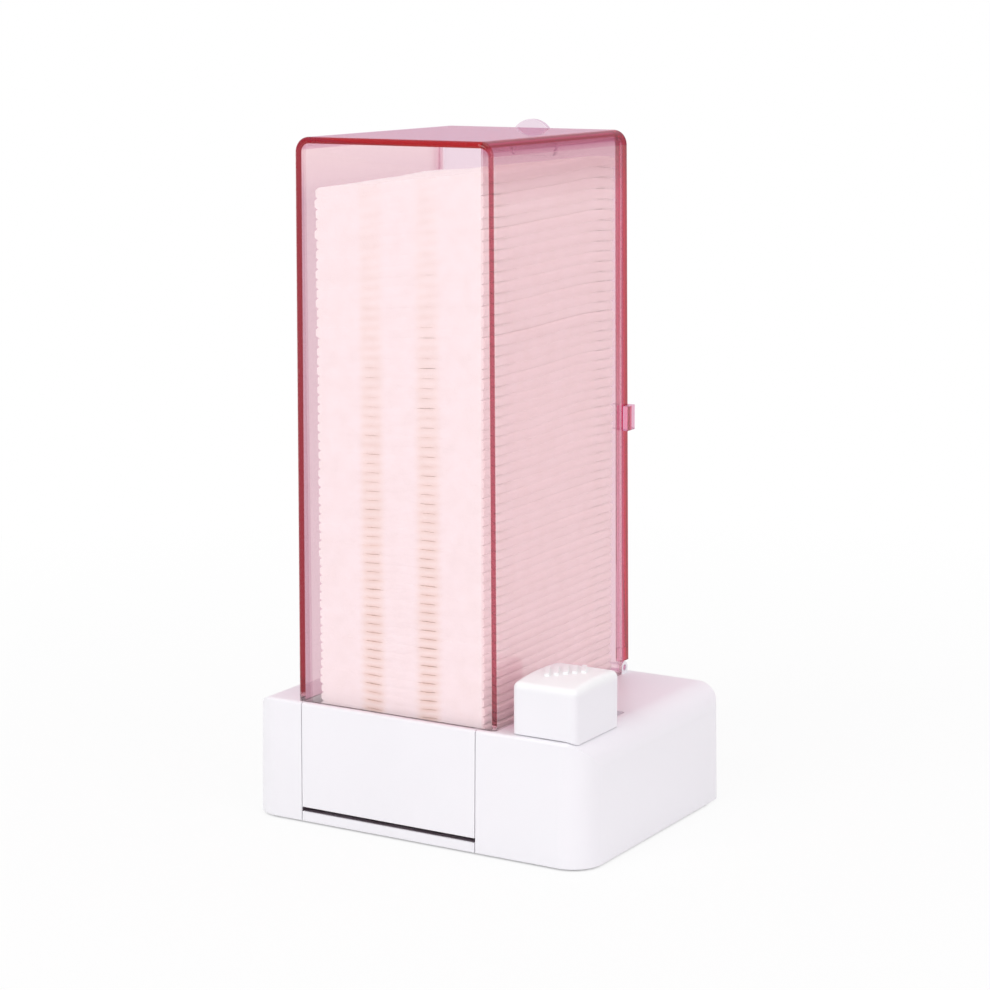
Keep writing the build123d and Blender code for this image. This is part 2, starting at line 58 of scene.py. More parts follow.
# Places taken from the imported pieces
PAD_LOW, PAD_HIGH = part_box("cotton_pads")
HOPPER_LOW, HOPPER_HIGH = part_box("hopper")
PANEL_LOW, PANEL_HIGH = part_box("front_panel")
BASE_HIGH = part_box("base_housing")[1]
BUTTON_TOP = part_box("slider_button")[1].z
HOPPER_FOOT = BASE_HIGH.z
HOPPER_MIDDLE = (HOPPER_LOW.x + HOPPER_HIGH.x) / 2
HOPPER_HALF = HOPPER_HIGH.x - HOPPER_MIDDLE
HOPPER_LEAN = 0.0065

# Layout of node trees, and the colour sockets of a mix node
NODES_ACROSS = 8
NODE_STEP = (220, 280)
MIX_FIRST, MIX_SECOND, MIX_RESULT = 6, 7, 2

# Noises, as features for each metre and levels of detail
WHITE_FLOW = (22, 2)
WHITE_RUB = (160, 4)
WHITE_GRAIN = (1500, 2)
CLEAR_HAZE = (60, 3)
COTTON_CLOUD = (180, 4)
COTTON_FIBRES = (1400, 5)
RUBBER_DUST = (250, 4)
STEEL_RUB = (700, 4)
NOISE_RANGE = (0.3, 0.7)
TONE_PLACES = (0.35, 0.65)

# The dimmer tone of each material, as shares of its colour
WHITE_DIM = (0.985, 0.985, 0.985)
COTTON_DIM = (0.975, 0.965, 0.955)
RUBBER_DIM = (0.9, 0.9, 0.9)
STEEL_DIM = (0.88, 0.88, 0.88)

# Roughness from least to most, or how far it strays from its setting
WHITE_SMOOTHER, WHITE_ROUGHER = 0.04, 0.05
TINT_STRAY = 0.015
DOOR_ROUGH = (0.03, 0.07)
COTTON_ROUGH = (0.88, 1.0)
RUBBER_ROUGH = (0.7, 0.85)
STEEL_ROUGH = (0.26, 0.42)

# Reliefs, as strength and depth
WHITE_RELIEF = (0.05, 0.2 * MILLIMETRE)
COTTON_RELIEF = (0.35, 0.3 * MILLIMETRE)

# Cotton
COTTON_SHINE = 0.15
SHEEN, SHEEN_ROUGH = 0.25, 0.5
# Painted shade along the pressed channels, weaker towards the top pad
CHANNEL_SHADE_FULL, CHANNEL_SHADE_REACH = 0.5, 1.2
TOP_CHANNEL_SHADE = 0.2

# Zones of the white plastic where light and shade are painted: the button's crest and the inside of the
# outlet
# Where the painted light on the button's crest lies
CREST_LIGHT_LOW = 4.5 * MILLIMETRE
CREST_LIGHT_HIGH = 2 * MILLIMETRE
# Where the painted shade inside the outlet lies
OUTLET_SHADE_LIP = 0.6 * MILLIMETRE
OUTLET_SHADE_REACH = 20 * MILLIMETRE
OUTLET_SHADE_BELOW = 1.6 * MILLIMETRE
OUTLET_SHADE_ABOVE = 1.2 * MILLIMETRE

# Zones of the clear plastics, where edge glow and shade are painted, and how light crosses them
RIM_INSET = 5.4 * MILLIMETRE
RIM_DEPTH = 7.5 * MILLIMETRE
RIM_HEIGHT = 4.8 * MILLIMETRE
# How much of the painted edge glow shows on the left
LEFT_RIM_GLOW = 0.3
RIM_GLOW_STOPS = (0, 0.45, 0.58, 0.66, 1)
EDGE_STOPS = (0, 0.05, 0.12, 0.90, 0.94, 1)
ROOF_SKIN = 0.4 * MILLIMETRE
# Height of the painted shade under the hopper's roof
SHADE_HEIGHT = 20 * MILLIMETRE
CLIP_REACH = 2 * MILLIMETRE
PLASTIC_IOR = 1.49
MOST_BOUNCES = 7
MOST_TURNS = 1
ONE_DEEP = 0.5

# Form of one pad and its cloth simulation
SIM_SCALE = 20
DEEP_SHARE = 0.99
ACROSS, ALONG = 36, 16
EDGE_STEPS = tuple(step * MILLIMETRE for step in (0, 0.2, 0.6, 1.2, 2))
EDGE_RUN = 1.4 * MILLIMETRE
EDGE_ROUND = 0.5
PIN_SLACK = 0.05
CLOTH = {
    "quality": 6,
    "mass": 0.3,
    "tension_stiffness": 12,
    "compression_stiffness": 12,
    "shear_stiffness": 5,
    "bending_stiffness": 0.4,
    "use_pressure": True,
    "uniform_pressure_force": 3,
    "vertex_group_mass": "pressed",
}
CLOTH_STEPS = 18
SIDE_REACH = 0.4 * MILLIMETRE
END_REACH = 0.1 * MILLIMETRE
LEAST_FILL = 0.97

# How pads nest and stray in the stack, and the shade painted in their channels' hollows
DIMPLE_RUN = 0.7 * MILLIMETRE
TOP_FILL = 0.85
# How strong the painted shade in the channels' hollows is, and how it fades up the stack
LOW_SHADE, SHADE_FALL = 1.2, 1.1
MIDDLE_ROW = 0.1
NESTED = 1.07
SIDE_STRAY = (0.6 * MILLIMETRE, 0.71, 3.1)
DEEP_STRAY = (0.2 * MILLIMETRE, 0.63, 9.7)
TURN_STRAY = (math.radians(0.35), 0.57, 6.2)
LONG_WAVE = (0.6 * MILLIMETRE, 45, 40, 16)
SHORT_WAVE = (0.12 * MILLIMETRE, 110, 140, 0.9)
CALM_LOW, CALM_RISE = 0.15, 4
DROOP_START = 0.75
SMOOTH_ANGLE = math.radians(40)

# Stage
FLOOR_SIZE = 8
FLOOR_COLOUR = (0.86, 0.86, 0.86)
FLOOR_NEAR, FLOOR_FAR = 0.15, 0.5
NEAR_WHITE = 0.88
# Painted contact shadow: under the base's footprint the floor glows less, darker than its rendered shadow
# alone
FOOTPRINT_ROUND = 10 * MILLIMETRE
FOOTPRINT_BLUR = 1.5 * MILLIMETRE
UNDER_BASE_PAINTED_SHADOW = 0.35
LIGHT_TARGET = (0, 0, 0.1)
KEY_PLACE, KEY_SIZE = (-0.35, -1.3, 1.0), 0.9
FILL_PLACE, FILL_SIZE = (1.4, -0.3, 0.7), 1.0
TOP_PLACE, TOP_SIZE = (0.2, 0.1, 1.6), 0.9
SENSOR_WIDTH = 36
CLIP_NEAR, CLIP_FAR = 0.05, 20


class PadSettings(bpy.types.PropertyGroup):
    """The stack of cotton pads."""

    count: bpy.props.IntProperty(
        name="Pads", description="How many pads lie in the stack", default=69, min=1, max=120,
    )
    width: bpy.props.FloatProperty(
        name="Width", description="Left to right size of a pad", default=PAD_HIGH.x - PAD_LOW.x,
        unit="LENGTH",
    )
    depth: bpy.props.FloatProperty(
        name="Depth", description="Front to back size of a pad", default=78.6 * MILLIMETRE, unit="LENGTH",
    )
    low_pitch: bpy.props.FloatProperty(
        name="Low pitch", description="Thickness of a pad at the bottom, under the weight of the stack",
        default=2.70 * MILLIMETRE, unit="LENGTH",
    )
    high_pitch: bpy.props.FloatProperty(
        name="High pitch", description="Thickness of a pad at the top of the stack",
        default=3.30 * MILLIMETRE, unit="LENGTH",
    )
    lean: bpy.props.FloatProperty(
        name="Lean", description="How far the stack moves back with each metre of height",
        default=HOPPER_LEAN, precision=4,
    )
    rear_rise: bpy.props.FloatProperty(
        name="Rear rise", description="How much higher the rear of the topmost pad lies than its front edge",
        default=2.2 * MILLIMETRE, unit="LENGTH",
    )
    side_rise: bpy.props.FloatProperty(
        name="Side rise", description="How much higher the right edge of the topmost pad lies than its left",
        default=6.6 * MILLIMETRE, unit="LENGTH",
    )
    droop: bpy.props.FloatProperty(
        name="Droop", description="How far the rear edge of a pad hangs down", default=1.1 * MILLIMETRE,
        unit="LENGTH",
    )
    channels: bpy.props.FloatVectorProperty(
        name="Channels", description="Where the pressed channels run, as shares of the width",
        default=(1 / 3, 2 / 3), size=2,
    )
    channel_half: bpy.props.FloatProperty(
        name="Channel half width", description="How far from its middle a pressed channel reaches",
        default=4.6 * MILLIMETRE, unit="LENGTH",
    )
    pressed: bpy.props.FloatProperty(
        name="Pressed", description="Thickness left in a pressed channel, as a share of the full thickness",
        default=0.78, subtype="FACTOR", min=0.05, max=1,
    )
    colour: bpy.props.FloatVectorProperty(
        name="Cotton", description="Colour of the cotton", default=(0.975, 0.965, 0.955),
        subtype="COLOR", size=3, min=0, max=1,
    )
    # Painted shade: this warmer, darker colour stands for the shade along the pressed channels, not for a
    # stain
    channel_painted_shade: bpy.props.FloatVectorProperty(
        name="Channel stain", description="Stain of the cotton along its pressed channels",
        default=(0.98, 0.94, 0.89), subtype="COLOR", size=3, min=0, max=1,
    )
    # Painted shade: this colour darkens the channels' hollows where pads meet, not a stain of the cotton
    dimple_painted_shade: bpy.props.FloatVectorProperty(
        name="Dimple stain", description="Stain of the cotton in the hollows of its channels",
        default=(0.90, 0.81, 0.76), subtype="COLOR", size=3, min=0, max=1,
    )


class FinishSettings(bpy.types.PropertyGroup):
    """The plastics, rubber and steel."""

    white: bpy.props.FloatVectorProperty(
        name="White plastic", description="Colour of the moulded base", default=(0.905, 0.895, 0.93),
        subtype="COLOR", size=3, min=0, max=1,
    )
    # Painted shade: this dark colour inside the outlet stands for the shade there, not for a stain of the
    # plastic
    outlet: bpy.props.FloatVectorProperty(
        name="Inside the outlet", description="Stain of the white plastic just inside the outlet",
        default=(0.20, 0.15, 0.18), subtype="COLOR", size=3, min=0, max=1,
    )
    # Painted light: the crest is the same plastic, painted paler and less pink to offset the pink light on it
    crest: bpy.props.FloatVectorProperty(
        name="Button crest", description="Colour of the button's crest, which is paler than the rest",
        default=(0.93, 0.945, 0.945), subtype="COLOR", size=3, min=0, max=1,
    )
    white_roughness: bpy.props.FloatProperty(
        name="White roughness", description="Roughness of the moulded base", default=0.34,
        subtype="FACTOR", min=0, max=1,
    )
    slider_roughness: bpy.props.FloatProperty(
        name="Slider roughness", description="Roughness of the button, carriage and pusher", default=0.58,
        subtype="FACTOR", min=0, max=1,
    )
    white_shine: bpy.props.FloatProperty(
        name="White shine", description="How strongly the moulded base mirrors light", default=0.5,
        subtype="FACTOR", min=0, max=1,
    )
    slider_shine: bpy.props.FloatProperty(
        name="Slider shine", description="How strongly the button, carriage and pusher mirror light",
        default=0.12, subtype="FACTOR", min=0, max=1,
    )
    tint: bpy.props.FloatVectorProperty(
        name="Hopper tint", description="Colour that is left after light has crossed much tinted plastic",
        default=(0.94, 0.03, 0.24), subtype="COLOR", size=3, min=0, max=1,
    )
    tint_density: bpy.props.FloatProperty(
        name="Tint density", description="How quickly the tinted plastic colours the light, for each metre",
        default=30.0, min=0,
    )
    tint_roughness: bpy.props.FloatProperty(
        name="Hopper roughness", description="Roughness of the tinted plastic", default=0.04,
        subtype="FACTOR", min=0, max=1,
    )
    front: bpy.props.FloatVectorProperty(
        name="Hopper front", description="Colour of the hopper's front wall", default=(1, 0.985, 0.985),
        subtype="COLOR", size=3, min=0, max=1,
    )
    # Painted shade: the sides are the same plastic as the front, painted deeper as less light falls on them
    side: bpy.props.FloatVectorProperty(
        name="Hopper sides", description="Colour of the hopper's sides, a little deeper than its front",
        default=(0.95, 0.80, 0.81), subtype="COLOR", size=3, min=0, max=1,
    )
    # Painted shade: this darker colour of the left side stands for the shade seen through it, not for a stain
    left: bpy.props.FloatVectorProperty(
        name="Left side", description="Stain of the hopper's left side", default=(0.82, 0.765, 0.835),
        subtype="COLOR", size=3, min=0, max=1,
    )
    # Painted shade: this darker band under the roof stands for the shade in the hopper's top, not for a stain
    painted_shade_under_roof: bpy.props.FloatVectorProperty(
        name="Under the roof", description="Stain of the hopper's right side just under its roof",
        default=(0.66, 0.445, 0.50), subtype="COLOR", size=3, min=0, max=1,
    )
    cast: bpy.props.FloatVectorProperty(
        name="Cast light", description="Colour of the light that falls through the hopper's right half",
        default=(0.89, 0.665, 0.76), subtype="COLOR", size=3, min=0, max=1,
    )
    left_cast: bpy.props.FloatVectorProperty(
        name="Left cast light", description="Colour of the light that falls through the hopper's left half",
        default=(0.96, 0.89, 0.92), subtype="COLOR", size=3, min=0, max=1,
    )
    inner_light: bpy.props.FloatVectorProperty(
        name="Inner light", description="Colour of the light that falls on what is seen through the hopper",
        default=(1, 0.985, 0.99), subtype="COLOR", size=3, min=0, max=1,
    )
    left_edge: bpy.props.FloatVectorProperty(
        name="Left edge", description="Light that leaves the hopper along its left edge",
        default=(0.36, 0.015, 0.04), subtype="COLOR", size=3, min=0, max=1,
    )
    top_edge: bpy.props.FloatVectorProperty(
        name="Top edge", description="Light that leaves the hopper along its top edge",
        default=(0.46, 0.005, 0.005), subtype="COLOR", size=3, min=0, max=1,
    )
    right_edge: bpy.props.FloatVectorProperty(
        name="Right edge", description="Light that leaves the hopper along its right edges",
        default=(0.56, 0.16, 0.21), subtype="COLOR", size=3, min=0, max=1,
    )
    # Painted light: the red rim and the blush next to it stand for the glow of light caught along the edges
    rim: bpy.props.FloatVectorProperty(
        name="Hopper rim", description="Colour of the hopper's sides along their top and rear edges",
        default=(0.52, 0.005, 0.035), subtype="COLOR", size=3, min=0, max=1,
    )
    painted_rim_blush: bpy.props.FloatVectorProperty(
        name="Rim blush", description="Colour of the hopper's sides next to the rim",
        default=(0.82, 0.46, 0.58), subtype="COLOR", size=3, min=0, max=1,
    )
    roof: bpy.props.FloatVectorProperty(
        name="Hopper roof", description="Colour of the hopper's flat top", default=(0.88, 0.53, 0.75),
        subtype="COLOR", size=3, min=0, max=1,
    )
    clip: bpy.props.FloatVectorProperty(
        name="Clips", description="Colour of the rear door's clips", default=(0.82, 0.30, 0.44),
        subtype="COLOR", size=3, min=0, max=1,
    )
    clear: bpy.props.FloatVectorProperty(
        name="Clear plastic", description="Colour of the rear door", default=(0.87, 0.74, 0.83),
        subtype="COLOR", size=3, min=0, max=1,
    )
    door_light: bpy.props.FloatVectorProperty(
        name="Door light", description="Colour of the light that falls through the rear door",
        default=(0.96, 0.91, 0.95), subtype="COLOR", size=3, min=0, max=1,
    )
    door_edge: bpy.props.FloatVectorProperty(
        name="Door edge", description="Light that leaves the rear door along its edges",
        default=(0.85, 0.72, 0.82), subtype="COLOR", size=3, min=0, max=1,
    )
    rubber: bpy.props.FloatVectorProperty(
        name="Rubber", description="Colour of the feet", default=(0.55, 0.55, 0.56),
        subtype="COLOR", size=3, min=0, max=1,
    )
    steel: bpy.props.FloatVectorProperty(
        name="Steel", description="Colour of the screws", default=(0.62, 0.63, 0.65),
        subtype="COLOR", size=3, min=0, max=1,
    )


class StageSettings(bpy.types.PropertyGroup):
    """The floor, the light and the camera."""

    camera_place: bpy.props.FloatVectorProperty(
        name="Camera", description="Where the camera stands", default=(0.43037, -0.70691, 0.25811),
        size=3, subtype="TRANSLATION", unit="LENGTH",
    )
    camera_yaw: bpy.props.FloatProperty(
        name="Yaw", description="How far the camera turns to the left of straight back",
        default=math.radians(31.1312), subtype="ANGLE",
    )
    camera_pitch: bpy.props.FloatProperty(
        name="Pitch", description="How far the camera looks down", default=math.radians(10.6012),
        subtype="ANGLE",
    )
    camera_roll: bpy.props.FloatProperty(
        name="Roll", description="How far the camera rolls", default=math.radians(-0.206), subtype="ANGLE",
    )
    lens: bpy.props.FloatProperty(
        name="Lens", description="Focal length on a 36 mm frame, in millimetres", default=95.934,
    )
    ambient: bpy.props.FloatProperty(
        name="Ambient", description="Strength of the even white light all round", default=0.70, min=0,
    )
    ceiling: bpy.props.FloatVectorProperty(
        name="Ceiling", description="Colour that level faces mirror from above", default=(0.77, 0.57, 0.69),
        subtype="COLOR", size=3, min=0, max=1,
    )
    key: bpy.props.FloatProperty(
        name="Key", description="Power of the large soft light at the front left", default=7.5, min=0,
    )
    fill: bpy.props.FloatProperty(
        name="Fill", description="Power of the soft light at the right", default=3.6, min=0,
    )
    fill_colour: bpy.props.FloatVectorProperty(
        name="Fill colour", description="Colour of the soft light at the right", default=(1, 0.88, 0.97),
        subtype="COLOR", size=3, min=0, max=1,
    )
    top: bpy.props.FloatProperty(
        name="Top", description="Power of the soft light overhead", default=4.0, min=0,
    )


class DispenserSettings(bpy.types.PropertyGroup):
    """All that a user would change."""

    pads: bpy.props.PointerProperty(type=PadSettings)
    finish: bpy.props.PointerProperty(type=FinishSettings)
    stage: bpy.props.PointerProperty(type=StageSettings)


def settings():
    """The settings of this scene."""
    return bpy.context.scene.pad_dispenser


def add(tree, kind, **values):
    """A node in the next place of the tree's layout, with its properties set."""
    row, column = divmod(len(tree.nodes), NODES_ACROSS)
    made = tree.nodes.new(kind)
    made.location = (column * NODE_STEP[0], -row * NODE_STEP[1])
    for name, value in values.items():
        setattr(made, name, value)
    return made


def new_material(name):
    """A node material that holds only an output, with its tree and that output."""
    material = bpy.data.materials.new(name)
    material.use_nodes = True
    tree = material.node_tree
    tree.nodes.clear()
    return material, tree, add(tree, "ShaderNodeOutputMaterial")


def feed(tree, value, place):
    """Gives an input its value, which is a socket, a number or a colour."""
    if isinstance(value, bpy.types.NodeSocket):
        tree.links.new(value, place)
    elif isinstance(value, (int, float)):
        place.default_value = value
    else:
        place.default_value = (*value, 1)


def filled(tree, kind, inputs):
    """The first output of a new node, whose inputs are given by name."""
    made = add(tree, kind)
    for name, value in inputs.items():
        feed(tree, value, made.inputs[name])
    return made.outputs[0]


def reckon(tree, operation, *values):
    """A sum on sockets or numbers."""
    node = add(tree, "ShaderNodeMath", operation=operation)
    for value, place in zip(values, node.inputs):
        feed(tree, value, place)
    return node.outputs["Value"]


def within(tree, value, low, high):
    """1 where a value lies between two others."""
    return reckon(tree, "COMPARE", value, (low + high) / 2, (high - low) / 2)


def remap(tree, source, low, high, first=0, last=1, kind="LINEAR"):
    """A value that runs from first to last while its source runs from low to high."""
    node = add(tree, "ShaderNodeMapRange", interpolation_type=kind)
    for value, place in zip((source, low, high, first, last), node.inputs):
        feed(tree, value, place)
    return node.outputs["Result"]


def distance(tree, *parts):
    """How far a point lies beyond all of its limits, from how far it lies beyond each."""
    square = 0
    for part in parts:
        beyond = reckon(tree, "MAXIMUM", part, 0)
        square = reckon(tree, "ADD", square, reckon(tree, "MULTIPLY", beyond, beyond))
    return reckon(tree, "SQRT", square)


def axes(tree, coordinates="Object"):
    """A point's X, Y and Z."""
    place = add(tree, "ShaderNodeTexCoord").outputs[coordinates]
    apart = add(tree, "ShaderNodeSeparateXYZ")
    feed(tree, place, apart.inputs["Vector"])
    return tuple(apart.outputs)


def grain(tree, pattern):
    """Noise on Object coordinates, from its features for each metre and its detail."""
    scale, detail = pattern
    place = add(tree, "ShaderNodeTexCoord").outputs["Object"]
    return filled(tree, "ShaderNodeTexNoise", {"Vector": place, "Scale": scale, "Detail": detail})


def uneven(tree, source, low, high):
    """Spreads a noise over a range of values."""
    return remap(tree, source, *NOISE_RANGE, low, high)


def relief(tree, source, strength, depth):
    """A bump that follows a noise."""
    return filled(tree, "ShaderNodeBump", {"Height": source, "Strength": strength, "Distance": depth})


def two_colours(tree, share, first, second, blend="MIX"):
    """One colour where the share is 0 and another where it is 1. Each is a socket or a colour."""
    mix = add(tree, "ShaderNodeMix", data_type="RGBA", blend_type=blend)
    feed(tree, share, mix.inputs["Factor"])
    feed(tree, first, mix.inputs[MIX_FIRST])
    feed(tree, second, mix.inputs[MIX_SECOND])
    return mix.outputs[MIX_RESULT]


def multiplied_by_painted_shade(tree, share, base, stain):
    """A colour that is multiplied by a painted shade where the share is 1."""
    return two_colours(tree, share, base, stain, "MULTIPLY")


def colour_run(tree, source, places, colours):
    """A colour that follows a row of places and colours."""
    ramp = add(tree, "ShaderNodeValToRGB")
    for _ in range(len(places) - 2):
        ramp.color_ramp.elements.new(0.5)
    for element, place, colour in zip(ramp.color_ramp.elements, places, colours):
        element.position = place
        element.color = (*colour, 1)
    feed(tree, source, ramp.inputs["Fac"])
    return ramp.outputs["Color"]


def two_tones(tree, source, colour, dim):
    """A colour that wanders between its own tone and a slightly dimmer one."""
    dimmer = [channel * share for channel, share in zip(colour, dim)]
    return colour_run(tree, source, TONE_PLACES, (dimmer, colour))


def two_shaders(tree, share, first, second):
    """One shader where the share is 0 and another where it is 1."""
    mix = add(tree, "ShaderNodeMixShader")
    for value, place in zip((share, first, second), mix.inputs):
        feed(tree, value, place)
    return mix.outputs["Shader"]


def outlet_painted_shade_share(tree):
    """1 on the faces just inside the outlet, which little light reaches, where shade is painted into the
    white plastic.
    """
    x, y, z = axes(tree)
    wide = within(tree, x, PANEL_LOW.x, PANEL_HIGH.x)
    deep = within(tree, y, PANEL_LOW.y + OUTLET_SHADE_LIP, PANEL_LOW.y + OUTLET_SHADE_REACH)
    tall = within(tree, z, PANEL_LOW.z - OUTLET_SHADE_BELOW, PANEL_LOW.z + OUTLET_SHADE_ABOVE)
    return reckon(tree, "MULTIPLY", reckon(tree, "MULTIPLY", wide, deep), tall)


def crest_painted_light_share(tree):
    """A share that grows to 1 on the button's crest, where a paler colour is painted as light."""
    return remap(tree, axes(tree)[2], BUTTON_TOP - CREST_LIGHT_LOW, BUTTON_TOP - CREST_LIGHT_HIGH)


def moulded_white(name, rough, shine):
    """Satin moulded plastic with a faint flow in its tone and a fine mould texture, with painted shade inside
    the outlet and painted light on the button's crest.
    """
    finish = settings().finish
    material, tree, output = new_material(name)
    tones = two_tones(tree, grain(tree, WHITE_FLOW), finish.white, WHITE_DIM)
    # Painted shade inside the outlet
    toned = multiplied_by_painted_shade(tree, outlet_painted_shade_share(tree), tones, finish.outlet)
    rub = grain(tree, WHITE_RUB)
    surface = filled(tree, "ShaderNodeBsdfPrincipled", {
        # Painted light on the button's crest
        "Base Color": two_colours(tree, crest_painted_light_share(tree), toned, finish.crest),
        "Roughness": uneven(tree, rub, rough - WHITE_SMOOTHER, rough + WHITE_ROUGHER),
        "Specular IOR Level": shine,
        "Normal": relief(tree, grain(tree, WHITE_GRAIN), *WHITE_RELIEF),
    })
    feed(tree, surface, output.inputs["Surface"])
    return material


def polished(tree, colour, low, high):
    """Clear polished plastic with a little haze."""
    return filled(tree, "ShaderNodeBsdfPrincipled", {
        "Base Color": colour,
        "Roughness": uneven(tree, grain(tree, CLEAR_HAZE), low, high),
        "IOR": PLASTIC_IOR,
        "Transmission Weight": 1,
    })


def see_through(tree, share, first, second):
    """Lets light straight through, in one of two colours."""
    colour = two_colours(tree, share, first, second)
    return filled(tree, "ShaderNodeBsdfTransparent", {"Color": colour})


def clear_surface(tree, plastic, inner, cast, edge):
    """Lets lamps shine through clear plastic, and lets light out that has bounced along a wall many times."""
    path = add(tree, "ShaderNodeLightPath").outputs
    bounced = reckon(tree, "GREATER_THAN", path["Ray Depth"], MOST_BOUNCES)
    turned = reckon(tree, "GREATER_THAN", path["Glossy Depth"], MOST_TURNS)
    again = reckon(tree, "GREATER_THAN", path["Transparent Depth"], ONE_DEEP)
    way_out = see_through(tree, again, edge, WHITE)
    wall = two_shaders(tree, reckon(tree, "MAXIMUM", bounced, turned), plastic, way_out)
    inside = reckon(tree, "GREATER_THAN", path["Transmission Depth"], ONE_DEEP)
    open_way = see_through(tree, inside, cast, inner)
    soft = reckon(tree, "MAXIMUM", path["Is Shadow Ray"], path["Is Diffuse Ray"])
    return two_shaders(tree, soft, wall, open_way)


def hopper_place(tree):
    """How far right of the hopper's middle plane a point lies, how far from that plane, and its Y and Z."""
    x, y, z = axes(tree)
    off = reckon(tree, "SUBTRACT", x, HOPPER_MIDDLE)
    return off, reckon(tree, "ABSOLUTE", off), y, z


def painted_rim_glow_share(tree, y, z):
    """A share that grows from 0 on the hopper's open faces to 1 at their top and rear edges, where a red edge
    glow is painted.
    """
    height = reckon(tree, "SUBTRACT", z, HOPPER_FOOT)
    back = reckon(tree, "ADD", y, reckon(tree, "MULTIPLY", height, HOPPER_LEAN))
    rear = reckon(tree, "SUBTRACT", back, HOPPER_HIGH.y - RIM_DEPTH)
    upper = reckon(tree, "SUBTRACT", z, HOPPER_HIGH.z - RIM_HEIGHT)
    return distance(
        tree, reckon(tree, "DIVIDE", rear, RIM_DEPTH), reckon(tree, "DIVIDE", upper, RIM_HEIGHT),
    )


def side_colours(tree, finish, right, y, z):
    """The hopper's sides: a painted red edge glow at their rims, and painted shade at the left and, at the
    right, under the roof.
    """
    share = reckon(tree, "MULTIPLY", painted_rim_glow_share(tree, y, z), reckon(tree, "MAXIMUM", right, LEFT_RIM_GLOW))
    colours = (finish.side, finish.painted_rim_blush, finish.painted_rim_blush, finish.rim, finish.rim)
    sides = colour_run(tree, share, RIM_GLOW_STOPS, colours)
    # Painted shade on the right side, under the roof
    shade = remap(tree, z, HOPPER_HIGH.z - SHADE_HEIGHT, HOPPER_HIGH.z)
    sides = multiplied_by_painted_shade(tree, reckon(tree, "MULTIPLY", shade, right), sides, finish.painted_shade_under_roof)
    # Painted shade on the left side, fading out under the roof
    left = reckon(tree, "SUBTRACT", 1, reckon(tree, "MAXIMUM", right, shade))
    return multiplied_by_painted_shade(tree, left, sides, finish.left)


def wall_colours(tree, finish, right, side, y, z):
    """The hopper's front, sides and roof, with painted shade making the sides deeper than the front."""
    on_side = reckon(tree, "GREATER_THAN", side, HOPPER_HALF - RIM_INSET)
    walls = two_colours(tree, on_side, finish.front, side_colours(tree, finish, right, y, z))
    high = reckon(tree, "GREATER_THAN", z, HOPPER_HIGH.z - ROOF_SKIN)
    inner = reckon(tree, "LESS_THAN", side, HOPPER_HALF - RIM_INSET)
    return two_colours(tree, reckon(tree, "MULTIPLY", high, inner), walls, finish.roof)


def edge_colours(tree, finish, off):
    """The light that leaves the hopper along its left, top and right edges."""
    colours = [edge for edge in (finish.left_edge, finish.top_edge, finish.right_edge) for _ in range(2)]
    return colour_run(tree, remap(tree, off, -HOPPER_HALF, HOPPER_HALF), EDGE_STOPS, colours)


def tinted_plastic():
    """Rose plastic that is pale through one wall and deep red along its edges, where light caught in the
    walls leaves in set colours; its sides carry a painted edge glow at their rims and painted shade.
    """
    finish = settings().finish
    material, tree, output = new_material("tinted_plastic_hopper")
    off, side, y, z = hopper_place(tree)
    right = reckon(tree, "GREATER_THAN", off, 0)
    walls = wall_colours(tree, finish, right, side, y, z)
    rough = finish.tint_roughness
    plastic = polished(tree, walls, rough - TINT_STRAY, rough + TINT_STRAY)
    cast = two_colours(tree, right, finish.left_cast, finish.cast)
    surface = clear_surface(tree, plastic, finish.inner_light, cast, edge_colours(tree, finish, off))
    depth = {"Color": finish.tint, "Density": finish.tint_density}
    feed(tree, surface, output.inputs["Surface"])
    feed(tree, filled(tree, "ShaderNodeVolumeAbsorption", depth), output.inputs["Volume"])
    return material


def clear_plastic():
    """Clear polished plastic for the rear door, with redder clips."""
    finish = settings().finish
    material, tree, output = new_material("clear_plastic_door")
    side = hopper_place(tree)[1]
    beyond = reckon(tree, "GREATER_THAN", side, HOPPER_HALF - CLIP_REACH)
    plastic = polished(tree, two_colours(tree, beyond, finish.clear, finish.clip), *DOOR_ROUGH)
    surface = clear_surface(tree, plastic, finish.door_light, finish.door_light, finish.door_edge)
    feed(tree, surface, output.inputs["Surface"])
    return material


def channel_painted_shade_share(tree, pads):
    """A share of painted shade that is 1 along the pressed channels of the lower pads, and less towards
    the top pad.
    """
    x, _, z = axes(tree)
    off = pads.width
    for channel in pads.channels:
        away = reckon(tree, "SUBTRACT", x, PAD_LOW.x + channel * pads.width)
        off = reckon(tree, "MINIMUM", reckon(tree, "ABSOLUTE", away), off)
    half = pads.channel_half
    pressed = remap(tree, off, CHANNEL_SHADE_FULL * half, CHANNEL_SHADE_REACH * half, 1, 0, "SMOOTHSTEP")
    fade = remap(tree, z, (PAD_LOW.z + PAD_HIGH.z) / 2, PAD_HIGH.z, 1, TOP_CHANNEL_SHADE)
    return reckon(tree, "MULTIPLY", pressed, fade)


